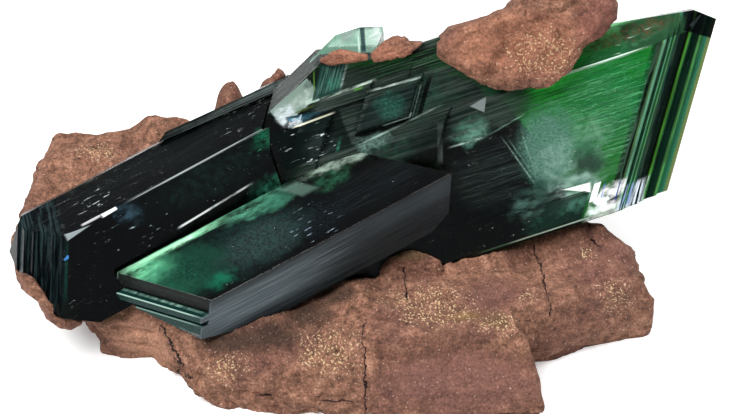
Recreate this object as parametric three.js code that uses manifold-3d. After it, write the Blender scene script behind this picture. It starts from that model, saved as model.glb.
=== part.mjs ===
// Vivianite specimen: dark green tabular crystals, grown side by side on a lump of granular
// iron-clay rock. Millimetres, +Z up, base cut flat on z = 0, shown face turned to -Y and up.

import * as THREE from 'three';
import Module from 'manifold-3d';
import { mergeVertices } from 'three/addons/utils/BufferGeometryUtils.js';

const wasm = await Module();
wasm.setup();

// Driving dimensions of the whole: the crystals lean back with the shown face
const DISPLAY_TILT = 45;
const DISPLAY_HEIGHT = 18;
const CONTACT_GAP = 0.3;

// Crystal angles in degrees: a blade's end edge runs at END_ANGLE to its length
const END_ANGLE = 57;
const BEVEL_LEAN = 42;

// Large blade, and its end steps as [depth below the front, x of the end edge at mid height]
const BLADE_LOW = -10.7;
const BLADE_HIGH = 8.2;
const BLADE_THICKNESS = 5.5;
const BLADE_LEFT = -30;
const BLADE_END_STEPS = [
  [0, 13.3], [-0.4, 14.0], [-0.8, 14.7], [-1.3, 15.3], [-1.8, 16.8], [-2.6, 17.6], [-3.4, 19.5], [-4.4, 21.1],
];

// Lozenge-ended blades of the stack: low edge, high edge, left end, right end, front
const LOZENGES = [
  [9.0, 13.7, -27.5, -20.1, 1.5],
  [0.5, 8.6, -36, -14.7, 0.9],
  [4.0, 12.4, -36, -31.5, 1.3],
  [13.0, 15.0, -36, -27, 0.7],
];
const LOZENGE_BACK = -3;

// Left prism, and its end steps as [depth below the front, reach past the front edge]
const PRISM_LENGTH = 34;
const PRISM_HEIGHT = 11.8;
const PRISM_THICKNESS = 9;
const PRISM_END_TURN = 151;
const PRISM_END_STEPS = [[0, 0], [-1.2, 1.0], [-2.6, 1.9], [-3.6, 2.9], [-5.0, 3.8], [-6.4, 4.4]];

// Front crystal, and its end ledges as [top, bottom, reach past the end face]
const FRONT_LENGTH = 33.2;
const FRONT_WIDTH = 11.2;
const FRONT_DEPTH = 8.6;
const FRONT_LEDGES = [[-2.3, -3.1, 0.9], [-3.9, -6.2, 0.7]];

// Back blade
const BACK_LENGTH = 24;
const BACK_THICKNESS = 3.2;

// Matrix rock: plan outline, anticlockwise from its right end, and heights
const ROCK_OUTLINE = [
  [38.1, -5.4], [35.2, -2.4], [35.8, 1.2], [33.4, 3.4], [30.4, 5.6], [26, 11], [19, 16.2], [9, 20], [0, 22],
  [-9, 22.5], [-18, 22.4], [-25, 21.6], [-34, 20.4], [-42.2, 19.2], [-43.6, 12.5], [-44.8, 7], [-45.4, 2.6],
  [-39, -1], [-35.5, -5], [-33.4, -8.4],
  [-27.5, -9.6], [-23.4, -13], [-19.6, -17.4], [-10.6, -18.8], [-2, -19.4], [10, -19.4], [22.4, -19],
  [22, -15.6], [20.6, -12.6], [20, -11], [30.2, -7.6],
];
const SHELF_HEIGHT = 9.2;
const FRONT_EDGE = -12.5;
const FRONT_FALL = 0.75;
const RAMP_SLOPE = 1.05;
const RAMP_FOOT = [[-45, -12], [-33, -9], [-12, 3.4], [-4, 2], [4, -3.4], [8.4, -3.6], [10, -2], [39, 3.8]];
const CREST_HEIGHTS = [
  [-45, 14.2], [-31, 12.9], [-28.6, 14.5], [-25, 14.5], [-23, 13.2], [-20.4, 13.2], [-15.5, 15.2],
  [-13, 16], [-11, 18], [-9.4, 20.2], [-7.8, 22], [6, 24], [14, 24], [20, 23], [23, 18], [27, 11.5],
  [38, 9.5],
];
// Knobs on the crest: place and height
const KNOBS = [[-17.9, 19.5, 6.3], [-12.2, 19.8, 4.5]];
const KNOB_WIDTH = 1.9;
const KNOB_DEPTH = 3.4;
// Front block of the rock: it lies lower, in front of this ridge and right of its left side
const BLOCK_RIDGE = [[1.9, -13.7], [6.8, -14.1], [13.8, -12.6], [18, -13], [19.7, -14.2]];
const BLOCK_LEFT = 1.2;
const BLOCK_DROP = 0.9;
const BLOCK_FADE = 0.9;
const ROCK_MIDDLE = [-8, 8];
const ROCK_SPOKES = 120;
const ROCK_RINGS = [
  [0.1, 1], [0.2, 1], [0.3, 1], [0.4, 1], [0.49, 1], [0.57, 1], [0.65, 1], [0.72, 1], [0.78, 1], [0.84, 1],
  [0.89, 1], [0.93, 0.99], [0.955, 0.91], [0.975, 0.76], [0.99, 0.58], [1, 0.4], [0.995, 0.2], [0.985, 0],
];

// Smaller rocks, in the large blade's frame: outline, front and back
const LUMP_SPOKES = 40;
const LUMP_RINGS = [
  [0.3, 1], [0.58, 1], [0.8, 0.98], [0.93, 0.9], [1, 0.7], [0.99, 0.4], [0.93, 0.14], [0.8, 0],
];
const CHUNK_OUTLINE = [
  [14.8, 14.5], [14.1, 16.2], [12.2, 18.4], [9.4, 19.8], [5.6, 20.1], [3.2, 19], [1.4, 18.3], [-1.3, 18.1],
  [-6.2, 18.3], [-8.2, 17.2], [-9.2, 16.2], [-7, 13.4], [-3.9, 9.9], [-1.3, 8.9], [2.9, 7.4], [6.6, 8.6],
  [8.6, 10.6], [11.8, 11.6], [13.8, 12.7],
];
const SLIVER_LEFT_OUTLINE = [
  [-16.9, 18.2], [-19.2, 19.5], [-20.7, 20], [-23.2, 19.5], [-21.8, 18.4], [-17.1, 17.6],
];
const SLIVER_RIGHT_OUTLINE = [
  [-9.4, 17.5], [-11.4, 18.2], [-11.8, 18.9], [-13, 19.3], [-14.6, 19.1], [-16.6, 18.2], [-16.6, 17.1],
  [-12.6, 16.6],
];
const CRUST_OUTLINE = [
  [-2, -11.6], [-3.4, -9.4], [-4.6, -6.5], [-5.2, -3.2], [-6.4, -2.4], [-6.9, -4.4], [-6.1, -5.5],
  [-5.8, -7.2], [-5.8, -9.4], [-5.1, -10.6], [-3.9, -11.6],
];

const radians = THREE.MathUtils.degToRad;

// The outward direction of a face: turned in the broad plane from the crystal's length, then
// raised towards its front
function direction(turn, lean) {
  const flat = Math.cos(radians(lean));
  return new THREE.Vector3(
    flat * Math.cos(radians(turn)), flat * Math.sin(radians(turn)), Math.sin(radians(lean)),
  );
}

// A flat crystal face that passes through a point
function face(turn, lean, x, y, z) {
  const normal = direction(turn, lean);
  return { normal, distance: normal.dot(new THREE.Vector3(x, y, z)) };
}

const frontFace = (z) => face(0, 90, 0, 0, z);
const backFace = (z) => face(0, -90, 0, 0, z);
const highFace = (y, lean = 0) => face(90, lean, 0, y, 0);
const lowFace = (y, lean = 0) => face(-90, lean, 0, y, 0);
const rightEnd = (x, lean = 0) => face(END_ANGLE - 90, lean, x, 0, 0);
const leftEnd = (x, lean = 0) => face(END_ANGLE + 90, lean, x, 0, 0);

function toSolid(geometry) {
  const bare = geometry.clone();
  bare.deleteAttribute('normal');
  bare.deleteAttribute('uv');
  const merged = mergeVertices(bare, 1e-5);
  const mesh = new wasm.Mesh({
    numProp: 3,
    vertProperties: new Float32Array(merged.attributes.position.array),
    triVerts: new Uint32Array(merged.index.array),
  });
  return new wasm.Manifold(mesh);
}

function toGeometry(solid) {
  const mesh = solid.getMesh();
  const geometry = new THREE.BufferGeometry();
  geometry.setAttribute('position', new THREE.BufferAttribute(new Float32Array(mesh.vertProperties), 3));
  geometry.setIndex(new THREE.BufferAttribute(new Uint32Array(mesh.triVerts), 1));
  return geometry;
}

// A convex crystal: what is left of a large block inside all of its faces, each moved out by grow
const block = toSolid(new THREE.BoxGeometry(200, 200, 200));

function crystal(faces, grow) {
  return faces.reduce((solid, { normal, distance }) => {
    const inward = normal.clone().negate();
    return solid.trimByPlane(inward.toArray(), -(distance + grow));
  }, block);
}

// The largest body of a solid, without the chips that a cut leaves
function largest(solid) {
  return solid.decompose().reduce((best, body) => (body.volume() > best.volume() ? body : best));
}

function join(solids) {
  return solids.reduce((whole, solid) => whole.add(solid));
}

// Large blade: a plate whose right end steps down in thin layers
function bladePlate(grow) {
  const body = [
    backFace(-BLADE_THICKNESS), lowFace(BLADE_LOW), face(-90, 45, 0, BLADE_LOW, -0.7),
    face(90, BEVEL_LEAN, 0, BLADE_HIGH, 0), face(82, 0, 13.7, 12, 0), face(50, 0, 24.3, 10.3, 0),
    leftEnd(BLADE_LEFT), face(-60, 0, 14.2, -10.7, 0),
  ];
  return join(BLADE_END_STEPS.map(([z, x]) => crystal([frontFace(z), rightEnd(x), ...body], grow)));
}

// The stack on the large blade's upper left: two taller plates behind, lozenge-ended blades on them
function bladeStack(grow) {
  const tall = crystal([
    frontFace(-0.2), backFace(-4.6), lowFace(3), face(74, 15, -20, 18.4, 0), face(116, 18, -27.7, 16.7, -0.2),
    face(180, 0, -32.2, 14, 0), leftEnd(-41), rightEnd(-22),
  ], grow);
  const upper = crystal([
    frontFace(-0.4), backFace(-4.9), lowFace(3), face(90, 35, 0, 16.4, -0.4), highFace(17.4),
    leftEnd(-30), rightEnd(-3),
  ], grow);
  const lozenges = LOZENGES.map(([low, high, left, right, front]) => crystal([
    frontFace(front), backFace(LOZENGE_BACK), lowFace(low, 20), highFace(high, 30),
    leftEnd(left), rightEnd(right, 20),
  ], grow));
  return join([tall, upper, ...lozenges]);
}

const largeBlade = (grow) => bladePlate(grow).add(bladeStack(grow));

// Left prism: front face, dark top facet, and a left end of upright steps
function leftPrism(grow) {
  const body = [
    face(90, 22, 0, 0, 0), backFace(-PRISM_THICKNESS), highFace(3.2), lowFace(-PRISM_HEIGHT, -8),
    face(-125, 0, -1.4, -11.2, 0), face(-162, 0, -6.2, -4, 0), face(-178, -10, -6.2, -4, -6),
    face(135, -12, -3.9, 2.5, -6),
    face(-38, 0, PRISM_LENGTH, 0, 0),
  ];
  const layers = PRISM_END_STEPS.map(([z, reach]) => {
    const edge = direction(PRISM_END_TURN, 0).multiplyScalar(reach);
    return crystal([frontFace(z), face(PRISM_END_TURN, 12, edge.x, edge.y, z), ...body], grow);
  });
  return join(layers);
}

// Front crystal: pale top face, sheer front wall, and slanted ends, the left one with ledges
function frontCrystal(grow) {
  const body = [
    lowFace(0), highFace(FRONT_WIDTH), face(38, -12, FRONT_LENGTH, 0, -1.2), face(38, -50, 30.4, 0, -7.6),
    face(38, 30, 32.4, 1.2, 0),
    face(180, -70, -1.1, 0, -6.5), frontFace(0),
  ];
  const whole = crystal([...body, backFace(-FRONT_DEPTH), face(-143.5, 17.5, 0, 0, 0)], grow);
  const ledges = FRONT_LEDGES.map(([top, bottom, reach]) => {
    const edge = direction(-143.5, 17.5).multiplyScalar(reach);
    const end = face(-143.5, 17.5, edge.x, edge.y, edge.z);
    return crystal([...body, frontFace(top), backFace(bottom), end], grow);
  });
  return join([whole, ...ledges]);
}

function backBlade(grow) {
  return crystal([
    frontFace(0), backFace(-BACK_THICKNESS), highFace(0.3), lowFace(-5), face(120, 0, -1, -0.4, 0),
    rightEnd(BACK_LENGTH),
  ], grow);
}

// Clear crystal: a small wedge above the stack, in the large blade's frame
function clearCrystal(grow) {
  return crystal([
    frontFace(-1.8), backFace(-4.6), lowFace(17.2), face(117, -10, -23.8, 19.7, -2.4),
    face(180, 0, -24.2, 0, 0), face(90, -10, -18.5, 21.6, -2.4),
    face(74, -10, -16.2, 21.4, -2.4), face(0, -10, -14.2, 20, -2.4), face(-40, 20, -15, 19, -2.4),
  ], grow);
}

// Smooth noise from -1 to 1 on a unit lattice, the same for the same place
function latticeValue(i, j, k) {
  const wave = Math.sin(i * 127.1 + j * 311.7 + k * 74.7) * 43758.5453;
  return 2 * (wave - Math.floor(wave)) - 1;
}

const ease = (t) => t * t * (3 - 2 * t);

function noise(x, y, z) {
  const [i, j, k] = [Math.floor(x), Math.floor(y), Math.floor(z)];
  const [u, v, w] = [ease(x - i), ease(y - j), ease(z - k)];
  const mix = THREE.MathUtils.lerp;
  const row = (dj, dk) => mix(latticeValue(i, j + dj, k + dk), latticeValue(i + 1, j + dj, k + dk), u);
  return mix(mix(row(0, 0), row(1, 0), v), mix(row(0, 1), row(1, 1), v), w);
}

// How far a value is past a line, eased from 0 to 1 over the block's fade
const past = (depth) => ease(THREE.MathUtils.clamp(depth / BLOCK_FADE, 0, 1));

const lumps = (x, y) => 1.0 * noise(x / 7, y / 7, 3) + 0.5 * noise(x / 2.6, y / 2.6, 9);

// Height of a line of [position, height] stops at one position
function heightAlong(stops, at) {
  const next = stops.findIndex(([position]) => position > at);
  if (next < 1) {
    return stops[next === 0 ? 0 : stops.length - 1][1];
  }
  const [[from, low], [to, high]] = [stops[next - 1], stops[next]];
  return THREE.MathUtils.lerp(low, high, (at - from) / (to - from));
}

// Top of the rock: a low shelf that falls at the front, and a ramp behind it that climbs to the crest
function rockTop(x, y) {
  const shelf = SHELF_HEIGHT - FRONT_FALL * Math.max(0, FRONT_EDGE - y);
  const ramp = SHELF_HEIGHT + RAMP_SLOPE * (y - heightAlong(RAMP_FOOT, x));
  const knobs = KNOBS.reduce((sum, [kx, ky, rise]) => (
    sum + rise * Math.exp(-(((x - kx) / KNOB_WIDTH) ** 4) - ((y - ky) / KNOB_DEPTH) ** 2)
  ), 0);
  const block = BLOCK_DROP * past(heightAlong(BLOCK_RIDGE, x) - y) * past(x - BLOCK_LEFT);
  return Math.max(shelf, Math.min(ramp, heightAlong(CREST_HEIGHTS, x))) + knobs + lumps(x, y) - block;
}

// Distance from a middle point to an outline in one direction
function outlineRadius(outline, [cx, cy], angle) {
  const [dx, dy] = [Math.cos(angle), Math.sin(angle)];
  return outline.reduce((found, point, n) => {
    const next = outline[(n + 1) % outline.length];
    const [x1, y1, x2, y2] = [point[0] - cx, point[1] - cy, next[0] - cx, next[1] - cy];
    const across = dx * (y2 - y1) - dy * (x2 - x1);
    const radius = (x1 * (y2 - y1) - y1 * (x2 - x1)) / across;
    const along = (x1 * dy - y1 * dx) / across;
    return radius > 0 && along >= -1e-9 && along < 1 ? Math.max(found, radius) : found;
  }, 0);
}

// A closed lump of rock. Its rings run from the middle of the top, out and down the wall, to the
// base; a ring is a share of the outline's radius and a share of the height.
function rockLump({ outline, middle, spokes, rings, top, base, rough }) {
  const points = [...middle, top(...middle)];
  for (const [share, rise] of rings) {
    for (let n = 0; n < spokes; n += 1) {
      const angle = (2 * Math.PI * n) / spokes;
      const [dx, dy] = [Math.cos(angle), Math.sin(angle)];
      const wander = noise(5 * dx, 5 * dy, 3 * rise) + 0.5 * noise(15 * dx, 15 * dy, 9 * rise);
      const radius = outlineRadius(outline, middle, angle) * share + rough(angle) * wander * share ** 8;
      const [x, y] = [middle[0] + radius * dx, middle[1] + radius * dy];
      points.push(x, y, base + rise * (top(x, y) - base));
    }
  }
  points.push(...middle, base);
  const index = [];
  const last = rings.length - 1;
  const at = (ring, n) => 1 + ring * spokes + (n % spokes);
  for (let n = 0; n < spokes; n += 1) {
    index.push(0, at(0, n), at(0, n + 1));
    for (let ring = 0; ring < last; ring += 1) {
      index.push(at(ring, n), at(ring + 1, n), at(ring + 1, n + 1));
      index.push(at(ring, n), at(ring + 1, n + 1), at(ring, n + 1));
    }
    index.push(1 + rings.length * spokes, at(last, n + 1), at(last, n));
  }
  const geometry = new THREE.BufferGeometry();
  geometry.setAttribute('position', new THREE.Float32BufferAttribute(points, 3));
  geometry.setIndex(index);
  return toSolid(geometry);
}

function matrixRock() {
  return rockLump({
    outline: ROCK_OUTLINE, middle: ROCK_MIDDLE, spokes: ROCK_SPOKES, rings: ROCK_RINGS, top: rockTop, base: 0,
    rough: (angle) => 0.5 + 0.9 * Math.max(0, Math.sin(angle)),
  });
}

function smallLump(outline, middle, front, back, rough) {
  const top = (x, y) => front + rough * lumps(x * 1.6, y * 1.6);
  return rockLump({
    outline, middle, spokes: LUMP_SPOKES, rings: LUMP_RINGS, top, base: back, rough: () => 0.3 * rough,
  });
}

// Materials
const VIVIANITE = new THREE.MeshStandardMaterial({ color: '#0d2a20', roughness: 0.08, metalness: 0 });
const CLEAR_VIVIANITE = new THREE.MeshStandardMaterial({ color: '#9fc8b4', roughness: 0.06, metalness: 0 });
const IRON_CLAY = new THREE.MeshStandardMaterial({ color: '#94604e', roughness: 0.9, metalness: 0 });

// Where each crystal stands on the shown face: place in mm, then the bearing of its length, the
// tilt of its length towards the viewer and its roll about its length, in degrees
const BLADE_PLACE = { at: [22.1, 7.2, -3], bearing: 18, tilt: 2, roll: 8 };
const PRISM_PLACE = { at: [-37.4, -3.8, 4], bearing: 28.6, tilt: -12, roll: 15 };
const FRONT_PLACE = { at: [-18.6, -11.3, 8.2], bearing: 28, tilt: -8, roll: -40 };
const BACK_PLACE = { at: [-25.5, 9.2, -6], bearing: 25, tilt: -6, roll: 0 };

const display = new THREE.Group();
display.position.set(0, 0, DISPLAY_HEIGHT);
display.rotation.x = radians(DISPLAY_TILT);

// A mesh in its place on the shown face
function placed(name, solid, material, { at, bearing, tilt, roll }) {
  const mesh = new THREE.Mesh(toGeometry(solid), material);
  mesh.name = name;
  mesh.position.set(...at);
  mesh.rotation.set(radians(roll), radians(-tilt), radians(bearing), 'ZYX');
  return mesh;
}

// The matrix that takes a place's own frame to the specimen's frame
function frameOf(place) {
  const marker = placed('marker', block, IRON_CLAY, place);
  marker.updateMatrix();
  display.updateMatrix();
  return display.matrix.clone().multiply(marker.matrix);
}

// A solid of one place, expressed in another place's frame, or in the specimen's
function moved(solid, from, to) {
  const matrix = to ? frameOf(to).invert().multiply(frameOf(from)) : frameOf(from);
  return solid.transform(matrix.toArray());
}

// The room that each crystal takes up among its neighbours
const bladeRoom = largeBlade(CONTACT_GAP);
const prismRoom = leftPrism(CONTACT_GAP);
const frontRoom = frontCrystal(CONTACT_GAP);
const backRoom = backBlade(CONTACT_GAP);
const clearRoom = clearCrystal(CONTACT_GAP);

// What is left of a solid beside its neighbours
function fitted(solid, ...rooms) {
  return largest(rooms.reduce((rest, room) => rest.subtract(room), solid));
}

const prism = fitted(leftPrism(0), moved(bladeRoom, BLADE_PLACE, PRISM_PLACE));
const front = fitted(
  frontCrystal(0), moved(bladeRoom, BLADE_PLACE, FRONT_PLACE), moved(prismRoom, PRISM_PLACE, FRONT_PLACE),
);
const back = fitted(
  backBlade(0), moved(bladeRoom, BLADE_PLACE, BACK_PLACE), moved(prismRoom, PRISM_PLACE, BACK_PLACE),
);
const clear = fitted(clearCrystal(0), bladeRoom);
const chunk = fitted(smallLump(CHUNK_OUTLINE, [4, 13.5], 3.2, -6.5, 0.8), bladeRoom);
const sliverLeft = fitted(smallLump(SLIVER_LEFT_OUTLINE, [-20, 18.8], 1.2, -1.3, 0.2), bladeRoom, clearRoom);
const sliverRight = fitted(
  smallLump(SLIVER_RIGHT_OUTLINE, [-13.2, 17.8], 1.1, -2.4, 0.2), bladeRoom, clearRoom,
);
const crust = fitted(smallLump(CRUST_OUTLINE, [-5.1, -8], -0.8, -7.5, 0.3), prismRoom);
const rock = fitted(
  matrixRock(), moved(bladeRoom, BLADE_PLACE), moved(prismRoom, PRISM_PLACE), moved(frontRoom, FRONT_PLACE),
  moved(backRoom, BACK_PLACE),
);

display.add(
  placed('large_blade_crystal', largeBlade(0), VIVIANITE, BLADE_PLACE),
  placed('left_prism_crystal', prism, VIVIANITE, PRISM_PLACE),
  placed('front_crystal', front, VIVIANITE, FRONT_PLACE),
  placed('back_blade_crystal', back, VIVIANITE, BACK_PLACE),
  placed('clear_crystal', clear, CLEAR_VIVIANITE, BLADE_PLACE),
  placed('upper_matrix_chunk', chunk, IRON_CLAY, BLADE_PLACE),
  placed('top_matrix_sliver_left', sliverLeft, IRON_CLAY, BLADE_PLACE),
  placed('top_matrix_sliver_right', sliverRight, IRON_CLAY, BLADE_PLACE),
  placed('tip_matrix_crust', crust, IRON_CLAY, PRISM_PLACE),
);
const rockMesh = new THREE.Mesh(toGeometry(rock), IRON_CLAY);
rockMesh.name = 'matrix_rock';

const specimen = new THREE.Group();
specimen.add(display, rockMesh);
specimen.updateMatrixWorld(true);

// The part's origin is the middle of its box, on the base
const middle = new THREE.Box3().setFromObject(specimen, true).getCenter(new THREE.Vector3());
specimen.position.set(-middle.x, -middle.y, 0);

export default specimen;
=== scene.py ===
"""Vivianite specimen: dark green, glassy, tabular crystals on a lump of red-brown iron clay.

The crystals are the frame's own solids, given the look of glass. The rocks are worked out here, finer
than the frame's. Shapes are in millimetres until a mesh is made, and the scene is in metres.
"""

import bmesh
import bpy
import numpy as np
from mathutils import Matrix, Vector


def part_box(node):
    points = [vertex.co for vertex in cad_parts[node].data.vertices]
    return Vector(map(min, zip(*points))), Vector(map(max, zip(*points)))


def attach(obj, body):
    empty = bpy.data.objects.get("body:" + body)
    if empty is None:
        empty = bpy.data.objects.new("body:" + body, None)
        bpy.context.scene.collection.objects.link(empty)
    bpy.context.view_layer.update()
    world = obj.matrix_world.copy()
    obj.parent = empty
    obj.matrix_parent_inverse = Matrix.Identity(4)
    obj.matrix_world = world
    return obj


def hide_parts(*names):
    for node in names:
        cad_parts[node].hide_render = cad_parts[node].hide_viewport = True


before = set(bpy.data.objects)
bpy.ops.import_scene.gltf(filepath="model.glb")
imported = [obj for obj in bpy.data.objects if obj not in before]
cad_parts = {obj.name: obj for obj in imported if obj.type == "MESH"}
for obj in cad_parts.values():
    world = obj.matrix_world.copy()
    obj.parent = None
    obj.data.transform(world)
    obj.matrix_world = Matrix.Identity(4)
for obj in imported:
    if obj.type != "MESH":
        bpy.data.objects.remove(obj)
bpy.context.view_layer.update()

MM = 0.001
# The display face leans back, its middle is this high, and the shift centres the part's box
DISPLAY_TILT = 45
DISPLAY_HEIGHT = 18
SHIFT = Vector((0.428, -2.346, 0))
CONTACT_GAP = 0.3
# The photograph's view: 730 by 414 pixels, 2400 pixels to the eye, which is 300 mm away
PICTURE_WIDTH = 730
EYE_PIXELS = 2400
EYE_DISTANCE = 300


def turn(degrees, axis):
    """A rotation about one axis."""
    return Matrix.Rotation(np.radians(degrees), 4, axis)


def place(at, bearing, tilt, roll):
    """Takes a crystal's own frame to the part's, in mm: x runs along it, y across and z out of its
    front."""
    display = Matrix.Translation(SHIFT + Vector((0, 0, DISPLAY_HEIGHT))) @ turn(DISPLAY_TILT, "X")
    return display @ Matrix.Translation(at) @ turn(bearing, "Z") @ turn(-tilt, "Y") @ turn(roll, "X")


BLADE = place((22.1, 7.2, -3), 18, 2, 8)
PRISM = place((-37.4, -3.8, 4), 28.6, -12, 15)
FRONT = place((-18.6, -11.3, 8.2), 28, -8, -40)
BACK = place((-25.5, 9.2, -6), 25, -6, 0)
DISPLAY = place((0, 0, 0), 0, 0, 0)
UPRIGHT = Matrix.Translation(SHIFT)


def solid(name, rings, first, last, matrix):
    """A closed mesh of rings of points, each ring closed on itself, with one point before the first
    ring and one after the last. The points are in mm in the matrix's frame."""
    count, spokes = rings.shape[:2]
    points = np.concatenate([[first], rings.reshape(-1, 3), [last]])
    turned = np.array(matrix)
    points = (points @ turned[:3, :3].T + turned[:3, 3]) * MM
    here = 1 + np.arange(count * spokes).reshape(count, spokes)
    after = np.roll(here, -1, axis=1)
    walls = np.stack([here[:-1], here[1:], after[1:], after[:-1]], axis=-1).reshape(-1, 4)
    cap = np.stack([np.zeros(spokes, int), here[0], after[0]], axis=-1)
    base = np.stack([np.full(spokes, 1 + count * spokes), after[-1], here[-1]], axis=-1)
    mesh = bpy.data.meshes.new(name)
    mesh.from_pydata(points.tolist(), [], cap.tolist() + walls.tolist() + base.tolist())
    mesh.shade_smooth()
    made = bpy.data.objects.new(name, mesh)
    bpy.context.scene.collection.objects.link(made)
    return made


def triangles(node, matrix):
    """The corners of a CAD node's triangles in the matrix's frame, in mm."""
    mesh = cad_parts[node].data
    points = np.empty(len(mesh.vertices) * 3, np.float32)
    mesh.vertices.foreach_get("co", points)
    corners = np.empty(len(mesh.loops), np.int32)
    mesh.loops.foreach_get("vertex_index", corners)
    back = np.array(matrix.inverted())
    points = points.reshape(-1, 3) / MM @ back[:3, :3].T + back[:3, 3]
    return points[corners].reshape(-1, 3, 3)


def covering(nodes, matrix, a, b, axes=(0, 1, 2)):
    """Lowest and highest reach of some solids, along the third axis, over each point (a, b) of the
    first two. Inside a triangle the reach is its corners' reach, shared out by area."""
    low, high = np.full(a.shape, np.inf), np.full(a.shape, -np.inf)
    for node in nodes:
        for (ax, ay, az), (bx, by, bz), (cx, cy, cz) in triangles(node, matrix)[:, :, axes]:
            area = (by - cy) * (ax - cx) + (cx - bx) * (ay - cy)
            if abs(area) < 1e-7:
                continue
            first = ((by - cy) * (a - cx) + (cx - bx) * (b - cy)) / area
            second = ((cy - ay) * (a - cx) + (ax - cx) * (b - cy)) / area
            inside = (first >= 0) & (second >= 0) & (first + second <= 1)
            reach = first * az + second * bz + (1 - first - second) * cz
            low = np.where(inside, np.minimum(low, reach), low)
            high = np.where(inside, np.maximum(high, reach), high)
    return low, high


def lattice(i, j, k):
    """A fixed value from -1 to 1 for each point of a unit lattice: the fraction of a steep sine."""
    wave = np.sin(i * 127.1 + j * 311.7 + k * 74.7) * 43758.5453
    return 2 * (wave - np.floor(wave)) - 1


def noise(x, y, z):
    """Smooth noise from -1 to 1: the lattice's values, eased between the eight around a point."""
    x, y, z = np.broadcast_arrays(x, y, z)
    i, j, k = np.floor(x), np.floor(y), np.floor(z)
    u, v, w = (t * t * (3 - 2 * t) for t in (x - i, y - j, z - k))

    def row(dj, dk):
        near = lattice(i, j + dj, k + dk)
        return near + (lattice(i + 1, j + dj, k + dk) - near) * u

    front = row(0, 0) + (row(1, 0) - row(0, 0)) * v
    rear = row(0, 1) + (row(1, 1) - row(0, 1)) * v
    return front + (rear - front) * w


def broken(x, y, z, spacing, height):
    """Broken rock: noise folded at zero into sharp valleys, spacing mm apart, and twice more, each time
    under half as far apart and half as high."""
    total = np.zeros(np.broadcast(x, y, z).shape)
    for shrink, share, seed in ((1, 1, 4.1), (2.3, 0.45, 8.7), (5.2, 0.22, 15.3)):
        scale = shrink / spacing
        folded = 2 * np.abs(noise(x * scale + seed, y * scale - seed, z * scale + 2 * seed)) - 0.6
        total += share * height * folded
    return total


def outline_radius(outline, middle, angle):
    """Distance from a middle point to a closed outline in each direction."""
    here = np.array(outline, float) - middle
    after = np.roll(here, -1, axis=0)
    dx, dy = np.cos(angle)[:, None], np.sin(angle)[:, None]
    ex, ey = (after - here).T
    across = dx * ey - dy * ex
    radius = (here[:, 0] * ey - here[:, 1] * ex) / across
    along = (here[:, 0] * dy - here[:, 1] * dx) / across
    hit = (radius > 0) & (along >= -1e-9) & (along < 1)
    return np.where(hit, radius, 0).max(axis=1)


def rock_rings(outline, middle, spokes, rings, profile, rough):
    """Where a rock's rings run: across its top from the middle to the outline, then down its wall.
    A ring is a share of the outline's radius, wandering near the wall, and has a share of the height.
    rings is how many cross the top and how many go down the wall."""
    angle = np.linspace(0, 2 * np.pi, spokes, endpoint=False)
    dx, dy = np.cos(angle), np.sin(angle)
    shares, rises = np.array(profile).T
    stops = np.linspace(0, len(profile) - 1, rings[1])
    down = np.arange(len(profile))
    inner = np.linspace(0.005, shares[0], rings[0], endpoint=False)
    share = np.concatenate([inner, np.interp(stops, down, shares)])
    rise = np.concatenate([np.ones(rings[0]), np.interp(stops, down, rises)])
    share, rise = share[:, None], rise[:, None]
    wander = noise(5 * dx, 5 * dy, 3 * rise) + 0.5 * noise(15 * dx, 15 * dy, 9 * rise)
    radius = outline_radius(outline, middle, angle) * share + rough(angle) * wander * share ** 8
    return middle[0] + radius * dx, middle[1] + radius * dy, np.broadcast_to(rise, radius.shape), share


# Matrix rock, in the part's own upright frame. Its outline and heights are the frame's
ROCK_OUTLINE = [
    (38.1, -5.4), (35.2, -2.4), (35.8, 1.2), (33.4, 3.4), (30.4, 5.6), (26, 11), (19, 16.2), (9, 20), (0, 22),
    (-9, 22.5), (-18, 22.4), (-25, 21.6), (-34, 20.4), (-42.2, 19.2), (-43.6, 12.5), (-44.8, 7), (-45.4, 2.6),
    (-39, -1), (-35.5, -5), (-33.4, -8.4), (-27.5, -9.6), (-23.4, -13), (-19.6, -17.4), (-10.6, -18.8),
    (-2, -19.4), (10, -19.4), (22.4, -19), (22, -15.6), (20.6, -12.6), (20, -11), (30.2, -7.6),
]
ROCK_MIDDLE = (-8, 8)
ROCK_SPOKES = 560
ROCK_RINGS = (108, 40)
ROCK_PROFILE = [
    (0.93, 0.99), (0.955, 0.91), (0.975, 0.76), (0.99, 0.58), (1, 0.4), (0.995, 0.2), (0.985, 0),
]
SHELF_HEIGHT = 9.2
FRONT_EDGE = -12.5
FRONT_FALL = 0.75
RAMP_SLOPE = 1.05
RAMP_FOOT = [(-45, -12), (-33, -9), (-12, 3.4), (-4, 2), (4, -3.4), (8.4, -3.6), (10, -2), (39, 3.8)]
CREST_HEIGHTS = [
    (-45, 14.2), (-31, 12.9), (-28.6, 14.5), (-25, 14.5), (-23, 13.2), (-20.4, 13.2), (-15.5, 15.2),
    (-13, 16), (-11, 18), (-9.4, 20.2), (-7.8, 22), (6, 24), (14, 24), (20, 23), (23, 18), (27, 11.5),
    (38, 9.5),
]
KNOBS = [(-17.9, 19.5, 6.3), (-12.2, 19.8, 4.5)]
KNOB_WIDTH = 1.9
KNOB_DEPTH = 3.4
# Front block of the rock: it lies lower in front of this ridge, which has a lip, and between its sides
BLOCK_RIDGE = [(1.9, -13.7), (6.8, -14.1), (13.8, -12.6), (18, -13), (19.7, -14.2)]
BLOCK_LEFT = 1.2
BLOCK_DROP = 0.9
BLOCK_FADE = 0.9
BLOCK_RIGHT = 21
LIP_HEIGHT = 0.4
LIP_WIDTH = 0.8
# Broken surface: how far apart its valleys lie and how high it is
LEDGE_SPACING = 3.4
LEDGE_HEIGHT = 0.55
WALL_SPACING = 3.0
WALL_HEIGHT = 0.5


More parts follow.
